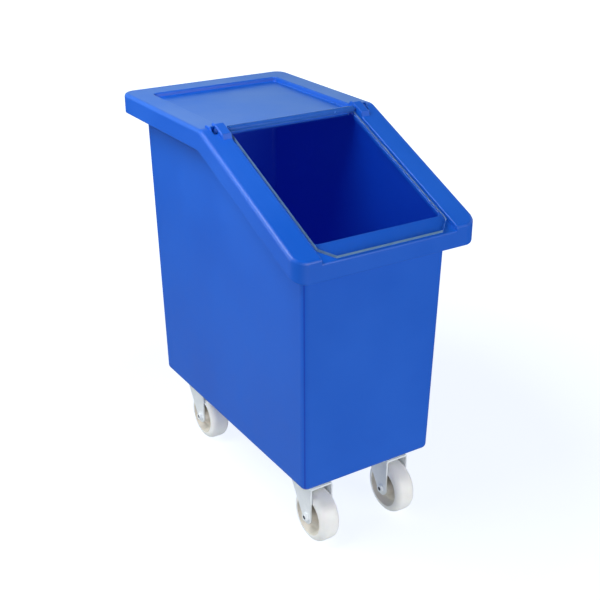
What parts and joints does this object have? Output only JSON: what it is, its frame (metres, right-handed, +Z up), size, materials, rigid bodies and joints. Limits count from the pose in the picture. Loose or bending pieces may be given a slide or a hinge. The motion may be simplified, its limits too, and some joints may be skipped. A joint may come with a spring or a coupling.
{
  "type": "ingredient bin",
  "caption": "Wheeled ingredient bin: tapered moulded tub, lift-off hood with a sunk rear panel and a hinged clear flap on its sloping front, and swivel castors.",
  "frame": {"origin": "on the floor below the middle of the hood, at the bottom centre of the bounding box", "axes": "+Z up, -Y towards the sloping front, +X to the right seen from the front"},
  "size_m": [0.3166, 0.559, 0.6435],
  "materials": {
    "blue_polyethylene": "satin moulded",
    "clear_sheet": "polished clear",
    "white_nylon": "satin",
    "zinc_plated_steel": "bright zinc plate",
    "blue_nylon": "satin",
    "bearing_steel": "greased",
    "brass": "machined"
  },
  "bodies": {
    "tub": {"tub": "blue_polyethylene", "castor_inserts": "brass", "castor_washers": "zinc_plated_steel", "castor_bolts": "zinc_plated_steel", "front_left_top_plate": "zinc_plated_steel", "front_left_king_bolt": "zinc_plated_steel", "front_left_king_nut": "zinc_plated_steel", "front_right_top_plate": "zinc_plated_steel", "front_right_king_bolt": "zinc_plated_steel", "front_right_king_nut": "zinc_plated_steel", "rear_left_top_plate": "zinc_plated_steel", "rear_left_king_bolt": "zinc_plated_steel", "rear_left_king_nut": "zinc_plated_steel", "rear_right_top_plate": "zinc_plated_steel", "rear_right_king_bolt": "zinc_plated_steel", "rear_right_king_nut": "zinc_plated_steel"},
    "hood": {"hood": "blue_polyethylene", "hinge_pin_left": "blue_nylon", "hinge_pin_right": "blue_nylon"},
    "flap": {"clear_flap": "clear_sheet", "flap_hinge_bar": "clear_sheet"},
    "front_left_castor": {"front_left_fork": "zinc_plated_steel", "front_left_ball_ring": "bearing_steel", "front_left_axle_sleeve": "zinc_plated_steel", "front_left_axle_bolt": "zinc_plated_steel", "front_left_axle_nut": "zinc_plated_steel"},
    "front_left_roller": {"front_left_wheel": "white_nylon"},
    "front_right_castor": {"front_right_fork": "zinc_plated_steel", "front_right_ball_ring": "bearing_steel", "front_right_axle_sleeve": "zinc_plated_steel", "front_right_axle_bolt": "zinc_plated_steel", "front_right_axle_nut": "zinc_plated_steel"},
    "front_right_roller": {"front_right_wheel": "white_nylon"},
    "rear_left_castor": {"rear_left_fork": "zinc_plated_steel", "rear_left_ball_ring": "bearing_steel", "rear_left_axle_sleeve": "zinc_plated_steel", "rear_left_axle_bolt": "zinc_plated_steel", "rear_left_axle_nut": "zinc_plated_steel"},
    "rear_left_roller": {"rear_left_wheel": "white_nylon"},
    "rear_right_castor": {"rear_right_fork": "zinc_plated_steel", "rear_right_ball_ring": "bearing_steel", "rear_right_axle_sleeve": "zinc_plated_steel", "rear_right_axle_bolt": "zinc_plated_steel", "rear_right_axle_nut": "zinc_plated_steel"},
    "rear_right_roller": {"rear_right_wheel": "white_nylon"}
  },
  "joints": [
    {"name": "hood_lift", "type": "slide", "parent": "tub", "child": "hood", "axis": [0, 0, 1], "range_m": [0, 0.2]},
    {"name": "flap_hinge", "type": "hinge", "parent": "hood", "child": "flap", "pos_m": [0, -0.01661, 0.63425], "axis": [-1, 0, 0], "range_deg": [0, 203]},
    {"name": "front_left_swivel", "type": "hinge", "parent": "tub", "child": "front_left_castor", "pos_m": [-0.0738, -0.1828, 0.1], "axis": [0, 0, 1], "continuous": true},
    {"name": "front_left_roll", "type": "hinge", "parent": "front_left_castor", "child": "front_left_roller", "pos_m": [-0.0738, -0.2068, 0.0445], "axis": [1, 0, 0], "continuous": true},
    {"name": "front_right_swivel", "type": "hinge", "parent": "tub", "child": "front_right_castor", "pos_m": [0.0738, -0.1828, 0.1], "axis": [0, 0, 1], "continuous": true},
    {"name": "front_right_roll", "type": "hinge", "parent": "front_right_castor", "child": "front_right_roller", "pos_m": [0.0738, -0.2068, 0.0445], "axis": [1, 0, 0], "continuous": true},
    {"name": "rear_left_swivel", "type": "hinge", "parent": "tub", "child": "rear_left_castor", "pos_m": [-0.0738, 0.1828, 0.1], "axis": [0, 0, 1], "continuous": true},
    {"name": "rear_left_roll", "type": "hinge", "parent": "rear_left_castor", "child": "rear_left_roller", "pos_m": [-0.0738, 0.1588, 0.0445], "axis": [1, 0, 0], "continuous": true},
    {"name": "rear_right_swivel", "type": "hinge", "parent": "tub", "child": "rear_right_castor", "pos_m": [0.0738, 0.1828, 0.1], "axis": [0, 0, 1], "continuous": true},
    {"name": "rear_right_roll", "type": "hinge", "parent": "rear_right_castor", "child": "rear_right_roller", "pos_m": [0.0738, 0.1588, 0.0445], "axis": [1, 0, 0], "continuous": true}
  ]
}
